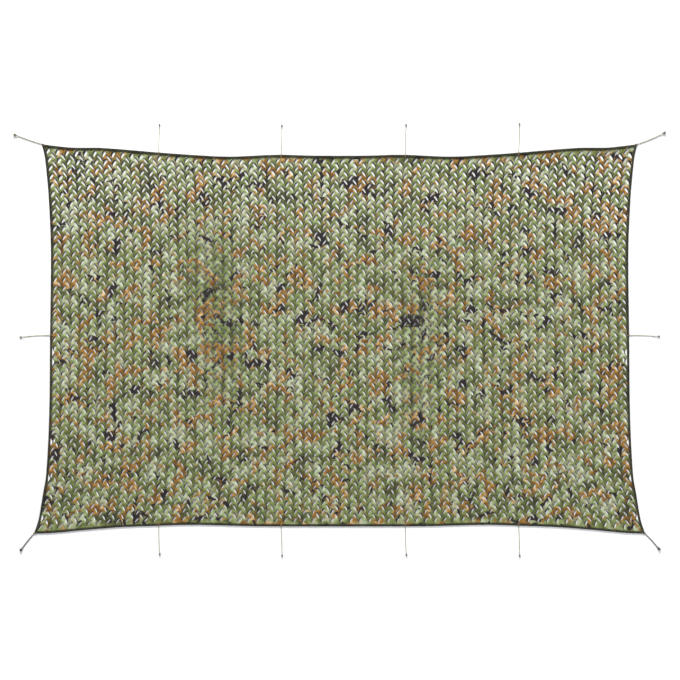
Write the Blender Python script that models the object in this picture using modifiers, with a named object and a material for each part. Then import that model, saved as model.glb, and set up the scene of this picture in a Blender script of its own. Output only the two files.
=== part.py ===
"""Camouflage net, 3 x 2 m: one printed cloth slit into leaves, four bound edges, fourteen knotted ties.

The net lies spread out on a flat surface, face up. Metres, +X along its length, +Y to its top edge, +Z up.
"""

from bisect import bisect_right
from collections import namedtuple
from math import cos, pi, sin

import bmesh
import bpy
from mathutils import Matrix, Vector

# Driving sizes
CORNER_RISE = 0.968  # top and bottom corners from the middle line
CLOTH_THICKNESS = 0.006  # flat cloth with its cut leaves standing up
BINDING_WIDTH = 0.012
BINDING_HEIGHT = 0.008
BINDING_ROUNDING = 0.0024
SIDE_TIE = 0.004  # cord diameters
CORNER_TIE = 0.0055
GAP = 0.0003  # between neighbours
INSET = BINDING_WIDTH + GAP  # outline to cloth

# Facets of the cloth, along its length and its height
COLUMNS = 36
ROWS = 24

# The outline's lines, each smooth through its rows
Side = namedtuple("Side", "height reach")
Edge = namedtuple("Edge", "across rise")
SIDE = (
    Side(-CORNER_RISE, 1.519),
    Side(-0.900, 1.497),
    Side(-0.775, 1.4755),
    Side(-0.676, 1.459),
    Side(-0.378, 1.444),
    Side(0.020, 1.4395),
    Side(0.442, 1.4355),
    Side(0.701, 1.446),
    Side(0.830, 1.457),
    Side(0.915, 1.467),
    Side(CORNER_RISE, 1.480),
)
TOP_EDGE = (
    Edge(0.000, 0.911),
    Edge(0.140, 0.912),
    Edge(0.310, 0.916),
    Edge(0.550, 0.907),
    Edge(0.726, 0.915),
    Edge(0.895, 0.927),
    Edge(1.182, 0.950),
    Edge(1.336, 0.952),
    Edge(1.480, CORNER_RISE),
)
BOTTOM_EDGE = (
    Edge(0.000, 0.932),
    Edge(0.410, 0.931),
    Edge(0.731, 0.924),
    Edge(0.940, 0.930),
    Edge(1.094, 0.936),
    Edge(1.258, 0.949),
    Edge(1.419, 0.964),
    Edge(1.519, CORNER_RISE),
)

# Two low soft folds run up the cloth: their middle, how far they lean over a metre, and their half sizes
Fold = namedtuple("Fold", "across up lean half_width half_length rise")
FOLDS = (
    Fold(-0.62, 0.12, -0.12, 0.18, 0.70, 0.010),
    Fold(0.40, -0.05, 0.06, 0.16, 0.66, 0.008),
)

# The largest gaps: leaf cuts that run into the side bindings, the same on both sides
GAP_HEIGHTS = (-0.065, -0.114, -0.512, -0.693, -0.890)
GAP_HALF_WIDTH = 0.007
GAP_HALF_HEIGHT = 0.012
GAP_CENTRE_IN = 0.003  # cloth's edge to the gap's centre
GAP_SIDES = 12

# Each tie leaves the outline at (at_x, at_y), where None is the outline's own, and its knot's tip lies at
# (tip_x, tip_y). It bows to its left by bow.
Tie = namedtuple("Tie", "name at_x at_y tip_x tip_y diameter bow")
TIES = (
    Tie("top_1", -0.899, None, -0.8945, 1.069, SIDE_TIE, 0.0012),
    Tie("top_2", -0.291, None, -0.2865, 1.066, SIDE_TIE, -0.0015),
    Tie("top_3", 0.327, None, 0.3310, 1.069, SIDE_TIE, 0.0016),
    Tie("top_4", 0.890, None, 0.8950, 1.074, SIDE_TIE, -0.0010),
    Tie("bottom_1", -0.899, None, -0.8940, -1.076, SIDE_TIE, -0.0014),
    Tie("bottom_2", -0.291, None, -0.2860, -1.084, SIDE_TIE, 0.0012),
    Tie("bottom_3", 0.327, None, 0.3320, -1.080, SIDE_TIE, -0.0012),
    Tie("bottom_4", 0.890, None, 0.8950, -1.084, SIDE_TIE, 0.0016),
    Tie("left_1", None, 0.018, -1.591, 0.009, SIDE_TIE, -0.0022),
    Tie("right_1", None, 0.018, 1.593, 0.012, SIDE_TIE, 0.0018),
    Tie("top_left", -1.480, CORNER_RISE, -1.621, 1.017, CORNER_TIE, 0.0015),
    Tie("top_right", 1.480, CORNER_RISE, 1.622, 1.027, CORNER_TIE, -0.0030),
    Tie("bottom_left", -1.519, -CORNER_RISE, -1.589, -1.055, CORNER_TIE, -0.0015),
    Tie("bottom_right", 1.519, -CORNER_RISE, 1.593, -1.050, CORNER_TIE, 0.0015),
)
KNOT_WIDTH = 2.4  # in cord diameters
KNOT_LENGTH = 3.1
TIE_POINTS = 14
TIE_SETTLES = 0.25  # share of a tie that comes down to the surface
TIE_LIFTS = 0.15  # share that rises into the knot


def smooth(rows, x):
    """Value at x of the smooth line through a table's (position, value) rows."""

    def slope(i):
        before, after = rows[max(i - 1, 0)], rows[min(i + 1, len(rows) - 1)]
        return (after[1] - before[1]) / (after[0] - before[0])

    left = max(0, min(len(rows) - 2, bisect_right([row[0] for row in rows], x) - 1))
    span = rows[left + 1][0] - rows[left][0]
    t = (x - rows[left][0]) / span
    rise = rows[left + 1][1] - rows[left][1]
    return (
        rows[left][1]
        + rise * t * t * (3 - 2 * t)
        + span * slope(left) * t * (1 - t) ** 2
        - span * slope(left + 1) * t * t * (1 - t)
    )


def spot(across, up, from_side, from_edge):
    """(x, y) of a point of the net, by its fractions (-1 to 1) across and up what the insets leave."""
    x, y = across * SIDE[-1].reach, up * CORNER_RISE
    for _ in range(6):
        high = smooth(TOP_EDGE, abs(x)) - from_edge
        low = from_edge - smooth(BOTTOM_EDGE, abs(x))
        y = low + (high - low) * (up + 1) / 2
        x = across * (smooth(SIDE, y) - from_side)
    return x, y


def fold_rise(x, y):
    """How far the folds lift the cloth off the surface."""
    rise = 0.0
    for fold in FOLDS:
        aside = (x - fold.across - fold.lean * (y - fold.up)) / fold.half_width
        along = (y - fold.up) / fold.half_length
        if abs(aside) < 1 and abs(along) < 1:
            rise += fold.rise * (cos(pi / 2 * aside) * cos(pi / 2 * along)) ** 2
    return rise


def stations(count):
    return [-1 + 2 * i / count for i in range(count + 1)]


def make_material(name, color, roughness):
    material = bpy.data.materials.new(name)
    material.use_nodes = True
    shader = material.node_tree.nodes["Principled BSDF"]
    shader.inputs["Base Color"].default_value = (*color, 1)
    shader.inputs["Roughness"].default_value = roughness
    shader.inputs["Metallic"].default_value = 0
    return material


def place(name, data, material, collection):
    obj = bpy.data.objects.new(name, data)
    data.materials.append(material)
    collection.objects.link(obj)
    return obj


def leaf_gap_cutter(collection):
    """One mesh of every gap's upright elliptical plug."""
    mesh = bmesh.new()
    for height in GAP_HEIGHTS:
        for side in (-1, 1):
            centre = side * (smooth(SIDE, height) - INSET - GAP_CENTRE_IN)
            plug = bmesh.ops.create_cone(
                mesh, cap_ends=True, segments=GAP_SIDES, radius1=1, radius2=1, depth=6 * CLOTH_THICKNESS
            )
            size = Matrix.Diagonal((GAP_HALF_WIDTH, GAP_HALF_HEIGHT, 1, 1))
            spot_and_size = Matrix.Translation((centre, height, 0)) @ size
            bmesh.ops.transform(mesh, matrix=spot_and_size, verts=plug["verts"])
    data = bpy.data.meshes.new("leaf_gap_cutter")
    mesh.to_mesh(data)
    mesh.free()
    cutter = bpy.data.objects.new("leaf_gap_cutter", data)
    cutter.hide_render = True
    cutter.display_type = "WIRE"
    collection.objects.link(cutter)
    return cutter


def net_cloth(material, collection, cutter):
    """The slit cloth: a sheet with the net's outline inside the bindings, its folds and its largest gaps."""
    mesh = bmesh.new()
    bmesh.ops.create_grid(mesh, x_segments=COLUMNS, y_segments=ROWS, size=1)
    for vertex in mesh.verts:
        x, y = spot(vertex.co.x, vertex.co.y, INSET, INSET)
        vertex.co = (x, y, fold_rise(x, y))
    data = bpy.data.meshes.new("net_cloth")
    mesh.to_mesh(data)
    mesh.free()
    cloth = place("net_cloth", data, material, collection)
    thickness = cloth.modifiers.new("thickness", "SOLIDIFY")
    thickness.thickness = CLOTH_THICKNESS
    thickness.offset = 1
    gaps = cloth.modifiers.new("gaps", "BOOLEAN")
    gaps.object = cutter
    gaps.operation = "DIFFERENCE"


def edge_binding(name, outer, inner, material, collection):
    """A strip of cloth folded over the edge: flat below, with rounded rims."""
    curve = bpy.data.curves.new(name, "CURVE")
    curve.dimensions = "2D"
    curve.fill_mode = "BOTH"
    curve.extrude = BINDING_HEIGHT / 2 - BINDING_ROUNDING
    curve.bevel_depth = BINDING_ROUNDING
    curve.bevel_resolution = 1
    curve.offset = -BINDING_ROUNDING
    outline = outer + inner[::-1]
    spline = curve.splines.new("POLY")
    spline.points.add(len(outline) - 1)
    for point, (x, y) in zip(spline.points, outline):
        point.co = (x, y, 0, 1)
    spline.use_cyclic_u = True
    strip = place(name, curve, material, collection)
    strip.location.z = BINDING_HEIGHT / 2


def side_line(side, from_side):
    """A line up a short side of the net, from its bottom corner to its top one."""
    between = [spot(side, up, from_side, INSET) for up in stations(ROWS)]
    return [spot(side, -1, from_side, 0), *between, spot(side, 1, from_side, 0)]


def long_line(up, from_edge):
    """A line along a long edge of the net, between the side bindings."""
    return [spot(across, up, INSET, from_edge) for across in stations(COLUMNS)]


def edge_bindings(material, collection):
    """The side strips run from corner to corner, and the long strips end against their inner faces."""
    for name, side in (("left", -1), ("right", 1)):
        outer, inner = side_line(side, 0), side_line(side, BINDING_WIDTH)
        edge_binding(f"edge_binding_{name}", outer, inner, material, collection)
    for name, up in (("bottom", -1), ("top", 1)):
        outer, inner = long_line(up, 0), long_line(up, BINDING_WIDTH)
        edge_binding(f"edge_binding_{name}", outer, inner, material, collection)


def tie_start(tie):
    """Where a tie leaves the outline."""
    if tie.at_x is None:
        side = 1 if tie.tip_x > 0 else -1
        return Vector((side * smooth(SIDE, tie.at_y), tie.at_y, 0))
    if tie.at_y is None:
        edge, side = (TOP_EDGE, 1) if tie.tip_y > 0 else (BOTTOM_EDGE, -1)
        return Vector((tie.at_x, side * smooth(edge, abs(tie.at_x)), 0))
    return Vector((tie.at_x, tie.at_y, 0))


def ease(t):
    t = max(0.0, min(1.0, t))
    return t * t * (3 - 2 * t)


def tie_route(tie):
    """The cord's points: out of the binding's side, down to the surface, along it, and up into the knot."""
    start = tie_start(tie)
    heading = (Vector((tie.tip_x, tie.tip_y, 0)) - start).normalized()
    aside = Vector((-heading.y, heading.x, 0))
    first = start + heading * 2 * GAP
    last = Vector((tie.tip_x, tie.tip_y, 0)) - heading * (KNOT_LENGTH * tie.diameter + GAP)
    lying = tie.diameter / 2 + GAP
    points = []
    for i in range(TIE_POINTS):
        t = i / (TIE_POINTS - 1)
        out_of_binding = (BINDING_HEIGHT / 2 - lying) * (1 - ease(t / TIE_SETTLES))
        into_knot = (KNOT_WIDTH - 1) * tie.diameter / 2 * ease(1 - (1 - t) / TIE_LIFTS)
        point = first.lerp(last, t) + aside * tie.bow * sin(pi * t)
        point.z = lying + out_of_binding + into_knot
        points.append(point)
    return points, heading


def tie_and_knot(tie, material, collection):
    points, heading = tie_route(tie)
    curve = bpy.data.curves.new(f"tie_{tie.name}", "CURVE")
    curve.dimensions = "3D"
    curve.bevel_depth = tie.diameter / 2
    curve.bevel_resolution = 2
    curve.use_fill_caps = True
    spline = curve.splines.new("POLY")
    spline.points.add(len(points) - 1)
    for point, route_point in zip(spline.points, points):
        point.co = (*route_point, 1)
    place(f"tie_{tie.name}", curve, material, collection)

    mesh = bmesh.new()
    bmesh.ops.create_icosphere(mesh, subdivisions=2, radius=0.5)
    size = Matrix.Diagonal((KNOT_LENGTH, KNOT_WIDTH, KNOT_WIDTH, 1 / tie.diameter)) * tie.diameter
    turn = heading.to_track_quat("X", "Z").to_matrix().to_4x4()
    centre = Vector((tie.tip_x, tie.tip_y, 0)) - heading * KNOT_LENGTH * tie.diameter / 2
    centre.z = KNOT_WIDTH * tie.diameter / 2 + GAP
    bmesh.ops.transform(mesh, matrix=Matrix.Translation(centre) @ turn @ size, verts=mesh.verts)
    data = bpy.data.meshes.new(f"knot_{tie.name}")
    mesh.to_mesh(data)
    mesh.free()
    data.shade_smooth()
    place(f"knot_{tie.name}", data, material, collection)


def main():
    for obj in list(bpy.data.objects):
        bpy.data.objects.remove(obj, do_unlink=True)
    net = bpy.data.collections.new("camouflage_net")
    cutters = bpy.data.collections.new("cutters")
    for collection in (net, cutters):
        bpy.context.scene.collection.children.link(collection)
    cloth_green = make_material("cloth_green", (0.22, 0.30, 0.10), 0.75)
    binding_dark = make_material("binding_dark", (0.035, 0.04, 0.015), 0.8)
    cord_grey = make_material("cord_grey", (0.36, 0.37, 0.30), 0.85)

    net_cloth(cloth_green, net, leaf_gap_cutter(cutters))
    edge_bindings(binding_dark, net)
    for tie in TIES:
        tie_and_knot(tie, cord_grey, net)


main()
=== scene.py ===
import collections
import math

import bmesh
import bpy
import numpy as np
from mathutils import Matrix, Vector


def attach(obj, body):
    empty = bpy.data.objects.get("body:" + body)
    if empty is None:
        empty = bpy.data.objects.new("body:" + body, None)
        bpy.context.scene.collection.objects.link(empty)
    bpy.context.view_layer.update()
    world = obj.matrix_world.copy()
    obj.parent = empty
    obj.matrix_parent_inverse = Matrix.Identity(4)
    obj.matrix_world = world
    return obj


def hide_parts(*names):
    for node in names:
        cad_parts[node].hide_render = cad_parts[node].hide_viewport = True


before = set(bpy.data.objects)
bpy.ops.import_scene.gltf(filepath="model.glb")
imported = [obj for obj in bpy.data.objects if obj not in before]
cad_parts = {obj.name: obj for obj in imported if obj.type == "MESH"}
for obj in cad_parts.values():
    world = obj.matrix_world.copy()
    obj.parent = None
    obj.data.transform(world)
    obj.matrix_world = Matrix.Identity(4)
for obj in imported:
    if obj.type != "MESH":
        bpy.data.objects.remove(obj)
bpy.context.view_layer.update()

# The studio: a camera looking straight down on the spread net, a plain white floor,
# one broad soft key light from the upper left and an even soft fill.
LENS = 85.0
CAMERA_PLACE = (0.002, -0.005, 7.985)
HALF_FLOOR = 15.0
FLOOR_DROP = 0.0005
FLOOR_WHITE = (0.93, 0.93, 0.935)
FLOOR_PALER = (0.95, 0.95, 0.955)
SKY_TINT = (0.96, 0.98, 1.0, 1)
SKY_STRENGTH = 0.50

bpy.context.scene.view_settings.view_transform = "Standard"

camera_data = bpy.data.cameras.new("camera")
camera_data.lens = LENS
camera_data.clip_end = 60.0
camera = bpy.data.objects.new("camera", camera_data)
camera.location = CAMERA_PLACE
bpy.context.collection.objects.link(camera)
bpy.context.scene.camera = camera


def lamp(name, place, size, power, colour):
    """A round soft light that faces the middle of the net."""
    data = bpy.data.lights.new(name, "AREA")
    data.shape = "DISK"
    data.size = size
    data.energy = power
    data.color = colour
    made = bpy.data.objects.new(name, data)
    made.location = place
    made.rotation_euler = (-Vector(place)).to_track_quat("-Z", "Y").to_euler()
    bpy.context.collection.objects.link(made)


lamp("key", (-0.9, 8.4, 6.4), 2.6, 1190, (1.0, 0.985, 0.96))
lamp("fill", (3.5, -6.0, 8.0), 5.0, 260, (0.95, 0.97, 1.0))

world = bpy.data.worlds.new("studio")
world.use_nodes = True
sky = world.node_tree.nodes["Background"]
sky.inputs["Color"].default_value = SKY_TINT
sky.inputs["Strength"].default_value = SKY_STRENGTH
bpy.context.scene.world = world


def node(tree, kind, inputs=None, **settings):
    """A node with its settings, and with its inputs given as values or as other nodes' outputs."""
    made = tree.nodes.new(kind)
    for name, value in settings.items():
        setattr(made, name, value)
    for name, value in (inputs or {}).items():
        if isinstance(value, bpy.types.NodeSocket):
            tree.links.new(value, made.inputs[name])
        else:
            made.inputs[name].default_value = value
    return made


def finish_of(name, roughness, sheen, specular=0.25):
    """A new finish: (the finish, its tree, its shader)."""
    made = bpy.data.materials.new(name)
    made.use_nodes = True
    shader = made.node_tree.nodes["Principled BSDF"]
    shader.inputs["Roughness"].default_value = roughness
    shader.inputs["Sheen Weight"].default_value = sheen
    shader.inputs["Sheen Roughness"].default_value = 0.5
    shader.inputs["Specular IOR Level"].default_value = specular
    return made, made.node_tree, shader


def ramp(tree, factor, stops):
    """A colour ramp through (place, colour) stops."""
    made = node(tree, "ShaderNodeValToRGB", {"Fac": factor})
    band = made.color_ramp
    while len(band.elements) < len(stops):
        band.elements.new(0.5)
    for element, (place, colour) in zip(band.elements, stops):
        element.position = place
        element.color = (*colour, 1)
    return made.outputs["Color"]


def mixed(tree, share, below, above, blend="MIX"):
    """One colour over another, by share."""
    sockets = {0: share, 6: below, 7: above}
    return node(tree, "ShaderNodeMix", sockets, data_type="RGBA", blend_type=blend).outputs[2]


def maths(tree, operation, *values):
    """A sum on numbers or on other nodes' outputs."""
    return node(tree, "ShaderNodeMath", dict(enumerate(values)), operation=operation).outputs[0]


def object_place(tree):
    """Where a point is on the piece, in metres."""
    return node(tree, "ShaderNodeTexCoord").outputs["Object"]


def noise(tree, place, scale, detail=2.0):
    """Soft noise over a piece."""
    values = {"Vector": place, "Scale": scale, "Detail": detail}
    return node(tree, "ShaderNodeTexNoise", values).outputs[0]


def put(name, mesh):
    """A mesh as an object in the scene, at the origin."""
    made = bpy.data.objects.new(name, mesh)
    bpy.context.collection.objects.link(made)
    return made


def piece(name, verts, faces, finish):
    """A smooth mesh object at the origin, from points and faces in metres."""
    mesh = bpy.data.meshes.new(name)
    mesh.from_pydata([tuple(v) for v in verts], [], [tuple(f) for f in faces])
    mesh.materials.append(finish)
    mesh.shade_smooth()
    return put(name, mesh)


white, white_tree, white_shader = finish_of("floor white", 0.9, 0.0, 0.1)
soft = node(white_tree, "ShaderNodeTexNoise", {"Scale": 3.0})
tone = ramp(white_tree, soft.outputs[0], [(0.3, FLOOR_WHITE), (0.7, FLOOR_PALER)])
white_tree.links.new(tone, white_shader.inputs["Base Color"])
floor_corners = [
    (x * HALF_FLOOR, y * HALF_FLOOR, -FLOOR_DROP) for x, y in ((-1, -1), (1, -1), (1, 1), (-1, 1))
]
floor = piece("floor", floor_corners, [(0, 1, 2, 3)], white)

# The tie cords: fourteen short lengths of twisted soft cord made fast to the edge and
# stopped with an overhand knot. Those at the corners are thicker and start thin.
BINDING_WIDTH = 0.012
BINDING_HEIGHT = 0.008
GAP = 0.0003
INSET = BINDING_WIDTH + GAP
CORNER_RISE = 0.968
SIDE_TIE = 0.004
CORNER_TIE = 0.0055
KNOT_WIDTH = 2.4
KNOT_LENGTH = 3.1
TIE_POINTS = 14
TIE_SETTLES = 0.25
TIE_LIFTS = 0.15
ROPE_LAY = 2.9
CORNER_THIN_FOR = 0.035
CORD_RING_STEP = 0.35
KNOT_RING_STEP = 0.3
KNOT_RINGS = 48
KNOT_CORD = 0.92
KNOT_LEAD = 0.94
KNOT_TAIL = 0.80
KNOT_SIDES = 9

SIDE = [
    (-0.968, 1.519),
    (-0.900, 1.497),
    (-0.775, 1.4755),
    (-0.676, 1.459),
    (-0.378, 1.444),
    (0.020, 1.4395),
    (0.442, 1.4355),
    (0.701, 1.446),
    (0.830, 1.457),
    (0.915, 1.467),
    (0.968, 1.480),
]
TOP_EDGE = [
    (0.0, 0.911),
    (0.140, 0.912),
    (0.310, 0.916),
    (0.550, 0.907),
    (0.726, 0.915),
    (0.895, 0.927),
    (1.182, 0.950),
    (1.336, 0.952),
    (1.480, 0.968),
]
BOTTOM_EDGE = [
    (0.0, 0.932),
    (0.410, 0.931),
    (0.731, 0.924),
    (0.940, 0.930),
    (1.094, 0.936),
    (1.258, 0.949),
    (1.419, 0.964),
    (1.519, 0.968),
]

Tie = collections.namedtuple("Tie", "name at_x at_y tip_x tip_y diameter bow")
TIES = [
    Tie("top_1", -0.899, None, -0.8945, 1.069, SIDE_TIE, 0.0012),
    Tie("top_2", -0.291, None, -0.2865, 1.066, SIDE_TIE, -0.0015),
    Tie("top_3", 0.327, None, 0.3310, 1.069, SIDE_TIE, 0.0016),
    Tie("top_4", 0.890, None, 0.8950, 1.074, SIDE_TIE, -0.0010),
    Tie("bottom_1", -0.899, None, -0.8940, -1.076, SIDE_TIE, -0.0014),
    Tie("bottom_2", -0.291, None, -0.2860, -1.084, SIDE_TIE, 0.0012),
    Tie("bottom_3", 0.327, None, 0.3320, -1.080, SIDE_TIE, -0.0012),
    Tie("bottom_4", 0.890, None, 0.8950, -1.084, SIDE_TIE, 0.0016),
    Tie("left_1", None, 0.018, -1.591, 0.009, SIDE_TIE, -0.0022),
    Tie("right_1", None, 0.018, 1.593, 0.012, SIDE_TIE, 0.0018),
    Tie("top_left", -1.480, 0.968, -1.621, 1.017, CORNER_TIE, 0.0015),
    Tie("top_right", 1.480, 0.968, 1.622, 1.027, CORNER_TIE, -0.0030),
    Tie("bottom_left", -1.519, -0.968, -1.589, -1.055, CORNER_TIE, -0.0015),
    Tie("bottom_right", 1.519, -0.968, 1.593, -1.050, CORNER_TIE, 0.0015),
]


def smooth(rows, x):
    """The smooth line through rows of (place, value), at each x."""
    places = np.array([row[0] for row in rows])
    values = np.array([row[1] for row in rows])
    before = np.maximum(np.arange(len(rows)) - 1, 0)
    after = np.minimum(np.arange(len(rows)) + 1, len(rows) - 1)
    slopes = (values[after] - values[before]) / (places[after] - places[before])
    x = np.clip(np.asarray(x, float), places[0], places[-1])
    i = np.clip(np.searchsorted(places, x, side="right") - 1, 0, len(rows) - 2)
    span = places[i + 1] - places[i]
    t = (x - places[i]) / span
    start = values[i] * (1 + 2 * t) * (1 - t) ** 2 + slopes[i] * span * t * (1 - t) ** 2
    end = values[i + 1] * t**2 * (3 - 2 * t) + slopes[i + 1] * span * t**2 * (t - 1)
    return start + end


def ease(t):
    """A soft start and stop between 0 and 1."""
    t = np.clip(t, 0, 1)
    return t * t * (3 - 2 * t)


def tie_start(tie):
    """Where the tie leaves the edge of the net."""
    if tie.at_x is None:
        return np.array([math.copysign(float(smooth(SIDE, tie.at_y)), tie.tip_x), tie.at_y])
    if tie.at_y is None:
        edge = TOP_EDGE if tie.tip_y > 0 else BOTTOM_EDGE
        height = float(smooth(edge, abs(tie.at_x)))
        return np.array([tie.at_x, math.copysign(height, tie.tip_y)])
    return np.array([tie.at_x, tie.at_y])


def tie_route(tie):
    """The middle line of the tie, from the edge of the net to its knot."""
    start, tip = tie_start(tie), np.array([tie.tip_x, tie.tip_y])
    heading = (tip - start) / np.linalg.norm(tip - start)
    first = start + heading * 2 * GAP
    last = tip - heading * (KNOT_LENGTH * tie.diameter + GAP)
    t = np.arange(TIE_POINTS) / (TIE_POINTS - 1)
    lying = tie.diameter / 2 + GAP
    lift = (KNOT_WIDTH - 1) * tie.diameter / 2
    z = lying + (BINDING_HEIGHT / 2 - lying) * (1 - ease(t / TIE_SETTLES))
    z = z + lift * ease(1 - (1 - t) / TIE_LIFTS)
    aside = np.array([-heading[1], heading[0]]) * tie.bow
    xy = first + np.outer(t, last - first) + np.outer(np.sin(math.pi * t), aside)
    return np.column_stack([xy, z]), heading


def along(points, step):
    """The same line with points every step, smoothly between the given ones."""
    points = np.asarray(points, float)
    far = np.concatenate([[0], np.cumsum(np.linalg.norm(np.diff(points, axis=0), axis=1))])
    count = max(int(round(far[-1] / step)), 2)
    places = np.linspace(0, far[-1], count + 1)
    columns = [smooth(list(zip(far, points[:, k])), places) for k in range(3)]
    return np.column_stack(columns), places


def tube(line, places, outline, closed=False):
    """(points, faces, coordinates along and round) of an outline carried along a line.
    outline.at(place, angle) gives the distance aside and up from the line."""
    if closed:
        tangent = np.roll(line, -1, axis=0) - np.roll(line, 1, axis=0)
    else:
        tangent = np.gradient(line, axis=0)
    tangent /= np.linalg.norm(tangent, axis=1)[:, None]
    side = np.cross(tangent, (0, 0, 1.0))
    side /= np.maximum(np.linalg.norm(side, axis=1), 1e-6)[:, None]
    up = np.cross(side, tangent)
    angles = np.arange(outline.sides) * 2 * math.pi / outline.sides
    reach, lift = outline.at(places[:, None], angles[None, :])
    points = line[:, None] + side[:, None] * reach[..., None] + up[:, None] * lift[..., None]
    sides, rings = outline.sides, len(line)
    faces, spread = [], []
    for i in range(rings if closed else rings - 1):
        j = (i + 1) % rings
        for k in range(sides):
            m = (k + 1) % sides
            faces.append((i * sides + k, i * sides + m, j * sides + m, j * sides + k))
            next_place = places[j] if j else places[-1] * 2 - places[-2]
            spread.append(
                [
                    (places[i], k / sides),
                    (places[i], (k + 1) / sides),
                    (next_place, (k + 1) / sides),
                    (next_place, k / sides),
                ]
            )
    points = points.reshape(-1, 3)
    if not closed:
        for ring, turned in ((0, True), (rings - 1, False)):
            middle = len(points)
            points = np.vstack([points, line[ring]])
            for k in range(sides):
                rim = (ring * sides + k, ring * sides + (k + 1) % sides)
                faces.append((*(rim[::-1] if turned else rim), middle))
                spread.append([(places[ring], 0.0)] * 3)
    return points, faces, spread


def lay_map(obj, spread):
    """A map of the piece: metres along it, and turns round it."""
    layer = obj.data.uv_layers.new(name="along_and_round")
    layer.data.foreach_set("uv", np.array([c for face in spread for c in face]).ravel())


def outward(obj):
    """Turns every face of a closed piece outwards."""
    shape = bmesh.new()
    shape.from_mesh(obj.data)
    bmesh.ops.recalc_face_normals(shape, faces=shape.faces)
    shape.to_mesh(obj.data)
    shape.free()


class Twisted:
    """Three strands laid up into one cord, thinner for a while at the start if it is tapered."""

    sides = 15

    def __init__(self, diameter, thin_for=0.0):
        self.diameter = diameter
        self.thin_for = thin_for

    def at(self, place, angle):
        turn = 2 * math.pi * place / (ROPE_LAY * self.diameter)
        size = self.diameter / 2 * (0.88 + 0.12 * np.cos(3 * (angle - turn)))
        size = size * (1 + 0.035 * np.sin(place * 410 + 1.3) * np.sin(place * 173))
        if self.thin_for:
            size = size * (0.80 + 0.20 * ease(place / self.thin_for))
        return size * np.cos(angle), size * np.sin(angle)


def cord_finish(name, light, dark):
    """Soft spun cord: pale fibres, with painted shade down in the grooves between the strands, and
    patches of dirt.
    """
    made, tree, shader = finish_of(name, 0.85, 0.35)
    uv = node(tree, "ShaderNodeUVMap", uv_map="along_and_round").outputs["UV"]
    place = object_place(tree)
    split = node(tree, "ShaderNodeSeparateXYZ", {"Vector": uv})
    lay = maths(tree, "MULTIPLY", split.outputs["X"], 2 * math.pi * 3 / (ROPE_LAY * SIDE_TIE))
    turns = maths(tree, "MULTIPLY", split.outputs["Y"], 2 * math.pi * 3)
    groove = maths(tree, "COSINE", maths(tree, "SUBTRACT", turns, lay))
    fibres = noise(tree, place, 900.0, 3.0)
    stains = noise(tree, place, 60.0)
    height = maths(tree, "ADD", maths(tree, "MULTIPLY", groove, 0.18), fibres)
    # Painted shade: the colour goes dark down in the grooves between the strands.
    colour = ramp(tree, height, [(0.3, dark), (0.62, light)])
    dirt = ramp(tree, stains, [(0.35, (0.62, 0.60, 0.52)), (0.6, (1, 1, 1))])
    tree.links.new(mixed(tree, 0.8, colour, dirt, "MULTIPLY"), shader.inputs["Base Color"])
    bump = node(tree, "ShaderNodeBump", {"Strength": 0.5, "Distance": 0.0004, "Height": height})
    tree.links.new(bump.outputs[0], shader.inputs["Normal"])
    return made


pale_cord = cord_finish("pale spun cord", (0.50, 0.50, 0.40), (0.20, 0.20, 0.14))
grey_cord = cord_finish("grey spun cord", (0.115, 0.118, 0.100), (0.030, 0.031, 0.026))
knot_cord = cord_finish("soiled spun cord", (0.27, 0.27, 0.20), (0.09, 0.09, 0.065))
wrap_cord = cord_finish("brown whipping cord", (0.26, 0.17, 0.08), (0.09, 0.06, 0.03))


class Round:
    """A plain round cord, a little uneven along it."""

    def __init__(self, diameter, sides):
        self.diameter = diameter
        self.sides = sides

    def at(self, place, angle):
        size = self.diameter / 2 * (1 + 0.05 * np.sin(place * 900))
        return size * np.cos(angle), size * np.sin(angle)


def together(parts):
    """Several tubes as one set of points, faces and coordinates."""
    points, faces, spread = [], [], []
    for part_points, part_faces, part_spread in parts:
        faces += [tuple(i + len(points) for i in face) for face in part_faces]
        points += np.asarray(part_points).tolist()
        spread += part_spread
    return points, faces, spread


def overhand(middle, heading, diameter):
    """The knot at the end of a tie: one cord passed through its own loop and drawn up."""
    t = np.arange(KNOT_RINGS) * 2 * math.pi / KNOT_RINGS
    thick = diameter * KNOT_CORD
    long = (KNOT_LENGTH * diameter - thick) / 2 / 2.8
    wide = (KNOT_WIDTH * diameter - thick) / 5.1
    high = (KNOT_WIDTH * diameter - thick) / 2
    ahead = long * (np.sin(t) + 2 * np.sin(2 * t))
    aside = wide * (np.cos(t) - 2 * np.cos(2 * t) + 0.45)
    line = np.column_stack(
        [
            middle[0] + heading[0] * ahead - heading[1] * aside,
            middle[1] + heading[1] * ahead + heading[0] * aside,
            middle[2] - high * np.sin(3 * t),
        ]
    )
    places = t * diameter * 1.5
    parts = [tube(line, places, Round(thick, KNOT_SIDES), closed=True)]
    onward = np.array([heading[0], heading[1], 0.0])
    ahead = onward * KNOT_LENGTH * diameter / 2
    for end, width in ((-(ahead + onward * GAP), KNOT_LEAD), (ahead * 0.97, KNOT_TAIL)):
        run, places = along([middle, middle + end / 2, middle + end], diameter * KNOT_RING_STEP)
        parts.append(tube(run, places, Round(diameter * width, KNOT_SIDES)))
    return together(parts)


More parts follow.
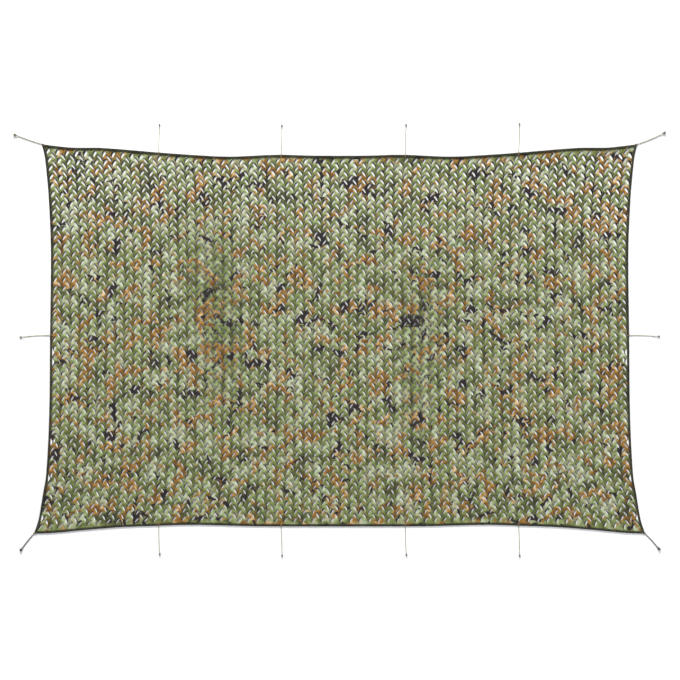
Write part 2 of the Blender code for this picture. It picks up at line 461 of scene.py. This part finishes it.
for tie in TIES:
    route, heading = tie_route(tie)
    line, places = along(route, tie.diameter * CORD_RING_STEP)
    corner = tie.at_x is not None and tie.at_y is not None
    low = corner and tie.tip_y < 0
    spun = Twisted(tie.diameter, CORNER_THIN_FOR if corner else 0.0)
    points, faces, spread = tube(line, places, spun)
    cord = piece("tie_cord_" + tie.name, points, faces, grey_cord if low else pale_cord)
    lay_map(cord, spread)
    outward(cord)

    centre = np.array([tie.tip_x, tie.tip_y]) - heading * KNOT_LENGTH * tie.diameter / 2
    middle = np.array([*centre, KNOT_WIDTH * tie.diameter / 2 + GAP])
    points, faces, spread = overhand(middle, heading, tie.diameter)
    knot = piece("tie_knot_" + tie.name, points, faces, grey_cord if low else knot_cord)
    lay_map(knot, spread)
    outward(knot)

    for made, stands_for in ((cord, "tie_" + tie.name), (knot, "knot_" + tie.name)):
        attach(made, "root")
        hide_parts(stands_for)

# The edge binding: printed cloth folded round a filler rope and sewn down all round the
# net, with the long strips butted between the two side strips.
BINDING_STEP = 0.012
BINDING_OFF_GROUND = 0.0001
STITCH_STEP = 0.011
STITCH_LENGTH = 0.0075
STITCH_THICKNESS = 0.0011
SEAM_FROM_RIM = 0.70
CORNER_ROUNDING = 0.62
PLUM_BLACK = (0.024, 0.018, 0.022, 1)


def spot(across, up, from_side, from_edge):
    """The place of a part of the net, given as shares of its half width and half height."""
    across, up = np.broadcast_arrays(np.asarray(across, float), np.asarray(up, float))
    x, y = across * SIDE[-1][1], up * CORNER_RISE
    for _ in range(6):
        high = smooth(TOP_EDGE, np.abs(x)) - from_edge
        low = from_edge - smooth(BOTTOM_EDGE, np.abs(x))
        y = low + (high - low) * (up + 1) / 2
        x = across * (smooth(SIDE, y) - from_side)
    return x, y


def camouflage(tree, tint, shift=(0.0, 0.0), black_from=0.610):
    """The woodland print: leaf greens and pale mint, with patches of ochre and of near black."""
    place = object_place(tree)
    laid = {"Vector": place, "Location": (*shift, 0.0), "Scale": (1.0, 1.0, 0.15)}
    print_place = node(tree, "ShaderNodeMapping", laid).outputs[0]

    def cloudy(scale, start, detail=2.0, distortion=0.4):
        moved = node(tree, "ShaderNodeMapping", {"Vector": print_place, "Location": start})
        values = {
            "Vector": moved.outputs[0],
            "Scale": scale,
            "Detail": detail,
            "Distortion": distortion,
        }
        return node(tree, "ShaderNodeTexNoise", values).outputs[0]

    greens = ramp(
        tree,
        cloudy(13.0, (0.0, 0.0, 0.0), 3.0, 0.7),
        [
            (0.34, (0.076, 0.090, 0.046)),
            (0.43, (0.142, 0.188, 0.070)),
            (0.51, (0.212, 0.280, 0.118)),
            (0.60, (0.360, 0.425, 0.320)),
        ],
    )
    browned = ramp(
        tree,
        cloudy(26.0, (3.1, 1.7, 0.0)),
        [(0.38, (0.74, 0.59, 0.44)), (0.58, (1.06, 1.06, 1.08))],
    )
    base = mixed(tree, 0.8, greens, browned, "MULTIPLY")
    tan = ramp(
        tree,
        cloudy(30.0, (5.3, 2.9, 0.0)),
        [(0.38, (0.19, 0.095, 0.020)), (0.55, (0.30, 0.165, 0.038)), (0.70, (0.58, 0.43, 0.27))],
    )
    patch = cloudy(13.0, (7.7, 4.2, 0.0), 2.0, 0.9)
    ochre = ramp(tree, patch, [(0.537, (0, 0, 0)), (0.602, (1, 1, 1))])
    black = ramp(
        tree,
        cloudy(14.5, (9.1, 1.4, 0.0), 2.0, 0.9),
        [(black_from, (0, 0, 0)), (black_from + 0.02, (1, 1, 1))],
    )
    printed = mixed(tree, ochre, base, tan)
    printed = mixed(tree, black, printed, PLUM_BLACK)
    return mixed(tree, 1.0, printed, (*tint, 1), "MULTIPLY"), place


def weave_bump(tree, place, shader, period, strength):
    """Plain weave: threads each way, a little uneven."""
    threads = {"Vector": place, "Scale": 0.314 / period, "Distortion": 0.6, "Detail": 1.0}
    fields = [
        node(tree, "ShaderNodeTexWave", threads, bands_direction=way).outputs["Fac"]
        for way in ("X", "Y")
    ]
    height = maths(tree, "MAXIMUM", *fields)
    relief = {"Strength": strength, "Distance": period / 3, "Height": height}
    bump = node(tree, "ShaderNodeBump", relief)
    tree.links.new(bump.outputs[0], shader.inputs["Normal"])


def binding_finish():
    """The print dyed down nearly to black, rubbed in places."""
    made, tree, shader = finish_of("binding cloth", 0.8, 0.25)
    colour, place = camouflage(tree, (0.10, 0.10, 0.09))
    wear = noise(tree, place, 45.0)
    tone = ramp(tree, wear, [(0.35, (0.45, 0.42, 0.36)), (0.65, (1.0, 1.0, 1.0))])
    tree.links.new(mixed(tree, 0.8, colour, tone, "MULTIPLY"), shader.inputs["Base Color"])
    weave_bump(tree, place, shader, 0.0012, 0.5)
    return made


class Folded:
    """Cloth round a rope: a rounded strip, flat where it lies, a little uneven along it."""

    sides = 16

    def __init__(self, phase):
        self.phase = phase

    def at(self, place, angle):
        swell = 0.035 * np.sin(place * 61 + self.phase)
        swell = swell + 0.03 * np.sin(place * 143 + 2 * self.phase)
        reach = np.sign(np.cos(angle)) * np.abs(np.cos(angle)) ** CORNER_ROUNDING
        lift = np.sign(np.sin(angle)) * np.abs(np.sin(angle)) ** CORNER_ROUNDING
        half_height = BINDING_HEIGHT / 2
        top = half_height * (1 + swell) * lift - 0.0006 * (lift > 0) * np.abs(reach)
        lift = np.where(lift > 0, top, (half_height - 0.0002) * lift)
        return reach * (BINDING_WIDTH / 2 - 0.0002) * (1 + 0.6 * (swell - 0.03)), lift


binding_cloth = binding_finish()
thread, thread_tree, thread_shader = finish_of("sewing thread", 0.7, 0.2)
thread_colour = ramp(
    thread_tree,
    noise(thread_tree, object_place(thread_tree), 400.0),
    [(0.35, (0.09, 0.10, 0.05)), (0.65, (0.22, 0.22, 0.12))],
)
thread_tree.links.new(thread_colour, thread_shader.inputs["Base Color"])


def new_tree(name, named, result):
    """An empty geometry tree with its named inputs and its one result: (tree, inputs)."""
    tree = bpy.data.node_groups.new(name, "GeometryNodeTree")
    for socket, kind in named.items():
        tree.interface.new_socket(socket, in_out="INPUT", socket_type="NodeSocket" + kind)
    tree.interface.new_socket(result, in_out="OUTPUT", socket_type="NodeSocketGeometry")
    return tree, node(tree, "NodeGroupInput").outputs


def ended(tree, instances, finish):
    """Makes the instances real, gives them their finish and ends the tree."""
    real = node(tree, "GeometryNodeRealizeInstances", {"Geometry": instances.outputs[0]})
    values = {"Geometry": real.outputs[0], "Material": finish}
    done = node(tree, "GeometryNodeSetMaterial", values)
    node(tree, "NodeGroupOutput", {0: done.outputs[0]})
    return tree


def stitch_tree():
    """Stitches laid end to end along a line."""
    named = {"Line": "Geometry", "Thread": "Material"}
    named.update(Spacing="Float", Length="Float", Thickness="Float")
    tree, given = new_tree("stitches", named, "Stitches")
    curve = node(tree, "GeometryNodeMeshToCurve", {"Mesh": given["Line"]})
    marks = node(
        tree,
        "GeometryNodeResampleCurve",
        {"Curve": curve.outputs[0], "Length": given["Spacing"]},
        mode="LENGTH",
    )
    bead = node(tree, "GeometryNodeMeshUVSphere", {"Segments": 6, "Rings": 4, "Radius": 0.5})
    size = node(
        tree,
        "ShaderNodeCombineXYZ",
        {"X": given["Length"], "Y": given["Thickness"], "Z": given["Thickness"]},
    )
    tangent = node(tree, "GeometryNodeInputTangent")
    turned = node(
        tree, "FunctionNodeAlignRotationToVector", {"Vector": tangent.outputs[0]}, axis="X"
    )
    sewn = node(
        tree,
        "GeometryNodeInstanceOnPoints",
        {
            "Points": marks.outputs[0],
            "Instance": bead.outputs[0],
            "Rotation": turned.outputs[0],
            "Scale": size.outputs[0],
        },
    )
    return ended(tree, sewn, given["Thread"])


def made_by(tree, source, inputs):
    """The plain mesh that a tree makes from a source object, which is then removed."""
    modifier = source.modifiers.new("make", "NODES")
    modifier.node_group = tree
    for item in tree.interface.items_tree:
        if item.in_out == "INPUT" and item.name in inputs:
            modifier[item.identifier] = inputs[item.name]
    graph = bpy.context.evaluated_depsgraph_get()
    mesh = bpy.data.meshes.new_from_object(source.evaluated_get(graph))
    bpy.data.objects.remove(source)
    return mesh


def edge_line(where, aside, count=200):
    """A line of points along one edge of the net, aside from its outer rim."""
    t = np.linspace(-1, 1, count)
    if where in ("left", "right"):
        x, y = spot(-1.0 if where == "left" else 1.0, t, aside, 0.0)
    else:
        x, y = spot(t, 1.0 if where == "top" else -1.0, INSET, aside)
    return x, y


stitching = stitch_tree()
for number, where in enumerate(("left", "right", "top", "bottom")):
    x, y = edge_line(where, BINDING_WIDTH / 2)
    middle = np.column_stack([x, y, np.full_like(x, BINDING_HEIGHT / 2 + BINDING_OFF_GROUND)])
    line, places = along(middle, BINDING_STEP)
    points, faces, spread = tube(line, places, Folded(number * 1.7))
    strip = piece("binding_" + where, points, faces, binding_cloth)
    lay_map(strip, spread)
    outward(strip)
    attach(strip, "root")
    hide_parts("edge_binding_" + where)

    x, y = edge_line(where, BINDING_WIDTH * SEAM_FROM_RIM)
    seam = np.column_stack([x, y, np.full_like(x, BINDING_HEIGHT - BINDING_OFF_GROUND)])
    line = bpy.data.meshes.new("seam_line")
    line.from_pydata([tuple(p) for p in seam], [(i, i + 1) for i in range(len(seam) - 1)], [])
    sizes = {
        "Spacing": STITCH_STEP,
        "Length": STITCH_LENGTH,
        "Thickness": STITCH_THICKNESS,
        "Thread": thread,
    }
    sewn = put("stitches_" + where, made_by(stitching, put("seam_line", line), sizes))
    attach(sewn, "root")

# The hitches: three turns of thin brown whipping cord, wound over the edge binding and
# pulled tight, hold each tie to the net. Their ends are tucked in beside the binding.
WRAP_CORD = 0.0024
WRAP_SINK = 0.0012
WRAP_RING_STEP = 0.0015
WRAP_SIDES = 8
WRAP_TURNS = (-0.95, 0, 0.95)
wraps = []
for tie in TIES:
    route, heading = tie_route(tie)
    start = tie_start(tie)
    inward = -heading
    for turn in WRAP_TURNS:
        t = np.linspace(0, math.pi, 11)
        reach = (BINDING_WIDTH / 2 + WRAP_CORD * 0.2) * np.cos(t)
        high = BINDING_HEIGHT * 0.5 + (BINDING_HEIGHT * 0.5 + WRAP_CORD * 0.3) * np.sin(t) ** 0.7
        aside = turn * WRAP_CORD
        base = start + inward * (BINDING_WIDTH / 2)
        arch = np.column_stack(
            [
                base[0] - inward[0] * reach - inward[1] * aside,
                base[1] - inward[1] * reach + inward[0] * aside,
                high - WRAP_SINK,
            ]
        )
        line, places = along(arch, WRAP_RING_STEP)
        wraps.append(tube(line, places, Round(WRAP_CORD, WRAP_SIDES)))
points, faces, spread = together(wraps)
hitches = piece("tie_hitches", points, faces, wrap_cord)
lay_map(hitches, spread)
outward(hitches)
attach(hitches, "root")

# The net cloth: light printed cloth slit all over with pairs of leaf-shaped cuts, then
# pulled open, so that it lies as a web with the cut leaves turned back beside each hole.
WEB_TUCK = 0.0022
WEB_OFF_GROUND = 0.0008
WEB_LEVEL = 0.0022
WEB_RIPPLE = 0.0006
WEB_WELD = 0.0001
# Painted shade on the web: a base level, taken down in the bands where the turned-back leaves lie.
WEB_SHADE = 0.62
BAND_PAINTED_SHADE = 0.12
COLUMNS = 64
ROWS = 45
CELL = (0.0453, 0.0415)
LEAF_LENGTH = 0.0325
LEAF_WIDTH = 0.0083
LEAF_LEAN = math.radians(34)
LEAF_HOOK = 0.0016
LEAF_AT = (0.295, 0.5)
LEAF_PLACES = (-0.72, -0.34, 0.10, 0.50, 0.84)
LEAF_SHARES = (0.62, 0.88, 1.0, 1.0, 0.80)
BAND_WAVE = 0.0078
LINK_WAVE = 0.0024
Fold = collections.namedtuple("Fold", "across up lean half_width half_length rise")
FOLDS = (
    Fold(-0.62, 0.12, -0.12, 0.18, 0.70, 0.010),
    Fold(0.40, -0.05, 0.06, 0.16, 0.66, 0.008),
)
FOLD_SETTLES = 0.5
# Painted shade where the cloth rises at the folds.
FOLD_PAINTED_SHADE = 4.0
GAP_HEIGHTS = (-0.065, -0.114, -0.512, -0.693, -0.890)
GAP_PULL = 0.0125
GAP_REACH = 0.0135
GAP_FADES = 0.05


def fold_rise(x, y):
    """How far the laid cloth stands off the ground at its two low folds."""
    rise = np.zeros_like(x)
    for fold in FOLDS:
        aside = np.clip((x - fold.across - fold.lean * (y - fold.up)) / fold.half_width, -1, 1)
        ahead = np.clip((y - fold.up) / fold.half_length, -1, 1)
        rise += fold.rise * (np.cos(math.pi / 2 * aside) * np.cos(math.pi / 2 * ahead)) ** 2
    return rise


def leaf_rim():
    """The twelve points round a leaf cut, from its tail up its outer side to its head and back."""
    rows = [(-1.0, 0.0)]
    rows += [(s, share) for s, share in zip(LEAF_PLACES, LEAF_SHARES)]
    rows += [(1.0, 0.0)]
    rows += [(s, -share) for s, share in zip(LEAF_PLACES[::-1], LEAF_SHARES[::-1])]
    points = []
    for s, share in rows:
        ahead = s * LEAF_LENGTH / 2
        aside = share * LEAF_WIDTH / 2 - LEAF_HOOK * (1 - s * s)
        x = ahead * math.sin(LEAF_LEAN) + aside * math.cos(LEAF_LEAN)
        y = ahead * math.cos(LEAF_LEAN) - aside * math.sin(LEAF_LEAN)
        points.append((x / CELL[0], y / CELL[1]))
    return points


# The twelve points round a tile, which is half a cell wide, and how high each point of
# the cut's rim stands in the web: low on its free side and raised where the leaf joins.
BORDER = [(x, 0) for x in (0, 0.25, 0.5)]
BORDER += [(0.5, y) for y in (0.25, 0.5, 0.75)]
BORDER += [(x, 1) for x in (0.5, 0.25, 0)]
BORDER += [(0, y) for y in (0.75, 0.5, 0.25)]
FREE_SIDE = (0.0016, 0.0010, 0.0008, 0.0008, 0.0010, 0.0014)
JOINED_SIDE = (0.0024, 0.0040, 0.0048, 0.0050, 0.0044, 0.0032)
RIM_HEIGHTS = FREE_SIDE + JOINED_SIDE


def source_of(name, rows, faces):
    """A tile as an object. Each row holds a point's place across and up, its offset from the
    leaf's middle across and up, its height, and its painted light and shade."""
    values = np.array(rows, np.float32)
    mesh = bpy.data.meshes.new(name)
    mesh.from_pydata([(row[0], row[1], 0.0) for row in rows], [], faces)
    layer = mesh.attributes.new("from_middle", "FLOAT_VECTOR", "POINT")
    layer.data.foreach_set("vector", values[:, 2:5].ravel())
    layer = mesh.attributes.new("light", "FLOAT", "POINT")
    layer.data.foreach_set("value", values[:, 5].copy())
    return put(name, mesh)


def flipped(rows, faces):
    """The mirror tile: the other leaf of the pair, half a row up."""
    rows = [(1 - x, y + 0.5, -dx, dy, high, light) for x, y, dx, dy, high, light in rows]
    return rows, [tuple(face[::-1]) for face in faces]


def lattice_tree():
    """One tile repeated in columns and rows."""
    named = {"Tile": "Geometry", "Columns": "Int", "Rows": "Int", "Row pitch": "Float"}
    named["Cloth"] = "Material"
    tree, given = new_tree("repeat tile", named, "Net")
    last_column = maths(tree, "SUBTRACT", given["Columns"], 1.0)
    last_row = maths(tree, "SUBTRACT", given["Rows"], 1.0)
    deep = maths(tree, "MULTIPLY", last_row, given["Row pitch"])
    counts = {"Vertices X": given["Columns"], "Vertices Y": given["Rows"]}
    grid = node(tree, "GeometryNodeMeshGrid", {"Size X": last_column, "Size Y": deep, **counts})
    half_across = maths(tree, "MULTIPLY", last_column, 0.5)
    half_up = maths(tree, "MULTIPLY", deep, 0.5)
    half = node(tree, "ShaderNodeCombineXYZ", {"X": half_across, "Y": half_up})
    from_corner = {"Geometry": grid.outputs[0], "Translation": half.outputs[0]}
    moved = node(tree, "GeometryNodeTransform", from_corner)
    tiles_there = {"Points": moved.outputs[0], "Instance": given["Tile"]}
    laid = node(tree, "GeometryNodeInstanceOnPoints", tiles_there)
    return ended(tree, laid, given["Cloth"])


def arrays_of(mesh):
    """(places, offsets, lights, faces) of a repeated tile."""
    count = len(mesh.vertices)
    places, offsets, lights = np.empty(count * 3), np.empty(count * 3), np.empty(count)
    mesh.vertices.foreach_get("co", places)
    mesh.attributes["from_middle"].data.foreach_get("vector", offsets)
    mesh.attributes["light"].data.foreach_get("value", lights)
    faces = [tuple(polygon.vertices) for polygon in mesh.polygons]
    return places.reshape(-1, 3), offsets.reshape(-1, 3), lights, faces


def cloth_finish(name, tint, shift, black_from, painted_light_levels):
    """Printed cloth with its weave, with painted shade under the leaves and in the folds and
    painted highlight on the raised leaf edges.
    """
    made, tree, shader = finish_of(name, 0.78, 0.22)
    colour, place = camouflage(tree, tint, shift, black_from)
    # The shade attribute paints light and shade onto the print: dark for painted shadow, bright
    # for painted highlight.
    shade = node(tree, "ShaderNodeAttribute", attribute_name="shade").outputs["Fac"]
    stops = [(k / 2, (tone, tone, tone * 0.97)) for k, tone in enumerate(painted_light_levels)]
    painted_light_and_shade = ramp(tree, shade, stops)
    tree.links.new(mixed(tree, 1.0, colour, painted_light_and_shade, "MULTIPLY"), shader.inputs["Base Color"])
    weave_bump(tree, place, shader, 0.0010, 0.45)
    return made


def jitter(x, y):
    """A fixed random number for each cut, from 0 to 1."""
    value = np.sin(np.round(x * 4) * 12.9898 + np.round(y * 4) * 78.233 + 1.0) * 43758.5453
    return value - np.floor(value)


def open_share(x, y):
    """How wide the cuts gape over the net: most along the top and in its corners."""
    top = ease((y / ROWS - 0.62) / 0.36)
    corner = ease((np.abs(x / COLUMNS - 0.5) - 0.22) / 0.28)
    return 0.83 + 0.30 * top * (0.72 + 0.28 * corner) + 0.03 * corner


def in_place(places, offsets, lifted):
    """Lays repeated tiles out on the net: (points in metres, the web's painted shade, painted
    shade in the folds).
    The web's own lines wave between the cuts, and lifted leaves keep the height that they have."""
    x, y = places[:, 0], places[:, 1]
    middle_x, middle_y = x - offsets[:, 0], y - offsets[:, 1]
    on_rim = np.hypot(offsets[:, 0], offsets[:, 1]) > 0
    size = open_share(middle_x, middle_y) * (0.93 + 0.14 * jitter(middle_x, middle_y))
    x = np.where(on_rim, middle_x + offsets[:, 0] * size, x)
    y = np.where(on_rim, middle_y + offsets[:, 1] * (0.4 + 0.6 * size), y)
    turn = 2 * math.pi * (np.where(on_rim, middle_y, y) - 0.5)
    near_band = np.abs(x - np.round(x))
    band = np.cos(math.pi * np.minimum(near_band / 0.5, 1)) * 0.5 + 0.5
    inside = ease(np.minimum(x, COLUMNS - x) / 0.6)
    wave = -BAND_WAVE * np.cos(turn) * band + LINK_WAVE * np.cos(turn) * (1 - band)
    x = x + np.where(on_rim, 0.0, wave) * inside / CELL[0]
    level = WEB_LEVEL + WEB_RIPPLE * (np.cos(turn) * (1 - band) - band)
    z = np.where(on_rim | lifted, WEB_OFF_GROUND + offsets[:, 2], level)
    wander_x = 0.035 * np.sin(y * 0.61 + x * 0.13) + 0.025 * np.sin(y * 1.37 - x * 0.29)
    wander_y = 0.05 * np.sin(x * 0.47 + y * 0.19) + 0.03 * np.sin(x * 1.13 - y * 0.41)
    keep_x = ease(np.minimum(x, COLUMNS - x) / 2.0)
    keep_y = ease(np.minimum(y, ROWS - y) / 2.0)
    across = 2 * (x + wander_x * keep_x) / COLUMNS - 1
    up = 2 * (y + wander_y * keep_y) / ROWS - 1
    px, py = spot(across, up, INSET - WEB_TUCK, INSET - WEB_TUCK)
    for height in GAP_HEIGHTS:
        pull = GAP_PULL * np.exp(-(((py - height) / GAP_REACH) ** 2))
        from_rim = smooth(SIDE, py) - np.abs(px)
        left_of_it = np.clip(1 - (from_rim - 0.010) / GAP_FADES, 0, 1)
        px = px - np.sign(px) * pull * left_of_it
    rise = FOLD_SETTLES * fold_rise(px, py)
    points = np.column_stack([px, py, z + rise])
    # Painted shade: darker in the bands under the turned-back leaves and where the cloth rises at
    # the folds.
    return points, WEB_SHADE - BAND_PAINTED_SHADE * band, FOLD_PAINTED_SHADE * rise


ring = leaf_rim()
# Painted light and shade on the web: its border points take the web's plain painted shade, and the
# cut's rim is painted in shadow where the leaf joins and painted light on its free side.
web_rows = [(x, y, 0.0, 0.0, 0.0, -1.0) for x, y in BORDER]
web_rows += [
    (LEAF_AT[0] + dx, LEAF_AT[1] + dy, dx, dy, high, 0.0 if k > 5 else 0.80)
    for k, ((dx, dy), high) in enumerate(zip(ring, RIM_HEIGHTS))
]
web_faces = [(k, (k + 1) % 12, 12 + (k + 1) % 12, 12 + k) for k in range(12)]
filler_rows = [
    (x, y, 0.0, 0.0, 0.0, -1.0) for y in (0.0, 0.25, 0.5) for x in (0.5, 0.75, 1.0)
]
filler_faces = [
    (r * 3 + c, r * 3 + c + 1, r * 3 + c + 4, r * 3 + c + 3) for r in (0, 1) for c in (0, 1)
]

repeat_tile = lattice_tree()
# The last three numbers paint light and shade on the cloth: painted shadow, middle tone and
# painted highlight.
net_cloth = cloth_finish(
    "net cloth", (1.02, 0.98, 0.83), (0.0, 0.0), 0.625, (0.12, 0.82, 1.65)
)
leaf_cloth = cloth_finish(
    "cut leaf cloth", (0.99, 0.94, 0.85), (0.006, 0.004), 0.560, (0.03, 0.50, 2.05)
)


def repeated(name, rows, faces, row_count, pitch=1.0, finish=net_cloth):
    """A tile repeated over the net, as arrays."""
    sizes = {"Columns": COLUMNS, "Rows": row_count, "Row pitch": pitch, "Cloth": finish}
    return arrays_of(made_by(repeat_tile, source_of(name, rows, faces), sizes))


def cloth_piece(name, groups, finish, lifted):
    """All the tiles of several groups laid out as one piece, with its painted light and shade."""
    points, shades, faces = [], [], []
    start = 0
    for places, offsets, lights, tile_faces in groups:
        laid, plain, fold_painted_shade = in_place(places, offsets, lifted)
        points.append(laid)
        # Painted light and shade: the tile's own value where it has one, else the web's painted
        # shade, darkened further at the folds.
        shades.append(np.where(lights < 0, plain, lights) - fold_painted_shade)
        faces += [tuple(i + start for i in face) for face in tile_faces]
        start += len(laid)
    made = piece(name, np.vstack(points), faces, finish)
    layer = made.data.attributes.new("shade", "FLOAT", "POINT")
    layer.data.foreach_set("value", np.concatenate(shades).astype(np.float32))
    return made


tiles = [
    repeated("tile_up", web_rows, web_faces, ROWS),
    repeated("tile_down", *flipped(web_rows, web_faces), ROWS - 1),
    repeated("tile_end", filler_rows, filler_faces, 2, ROWS - 0.5),
]
web = cloth_piece("net_web", tiles, net_cloth, False)
shape = bmesh.new()
shape.from_mesh(web.data)
bmesh.ops.remove_doubles(shape, verts=shape.verts, dist=WEB_WELD)
for made_face in shape.faces:
    if made_face.normal.z < 0:
        made_face.normal_flip()
shape.to_mesh(web.data)
shape.free()
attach(web, "root")
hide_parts("net_cloth")

# The cut leaves: the cloth of each leaf-shaped cut, which is never taken away. It stays
# joined along one side of its hole, and it curls up and back over the web beside it.
CURL_OUT = (0.0, 0.46, 0.90)
CURL_UP = (0.0, 0.0040, 0.0026)
# Painted shadow along the leaf's join, going to painted highlight at its curled-up tip.
LEAF_SHADES = (0.0, 0.12, 1.0)
hinge = list(range(6, 12)) + [0]
leaf_rows = []
for row, (out, up) in enumerate(zip(CURL_OUT, CURL_UP)):
    for index, k in enumerate(hinge):
        if row and index in (0, 6):
            continue
        dx, dy = ring[k]
        share = 0.0 if index in (0, 6) else LEAF_SHARES[::-1][index - 1]
        aside = -out * share * LEAF_WIDTH
        dx = dx + aside * math.cos(LEAF_LEAN) / CELL[0]
        dy = dy - aside * math.sin(LEAF_LEAN) / CELL[1]
        height = RIM_HEIGHTS[k] + up * share
        across, up_cell = LEAF_AT[0] + dx, LEAF_AT[1] + dy
        leaf_rows.append((across, up_cell, dx, dy, height, LEAF_SHADES[row]))
leaf_faces = [(0, 1, 7), (5, 6, 11), (0, 7, 12), (6, 16, 11)]
leaf_faces += [(k + 1, k + 2, k + 8, k + 7) for k in range(4)]
leaf_faces += [(k + 7, k + 8, k + 13, k + 12) for k in range(4)]
groups = [
    repeated("leaf_up", leaf_rows, leaf_faces, ROWS, finish=leaf_cloth),
    repeated("leaf_down", *flipped(leaf_rows, leaf_faces), ROWS - 1, finish=leaf_cloth),
]
leaves = cloth_piece("cut_leaves", groups, leaf_cloth, True)
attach(leaves, "root")
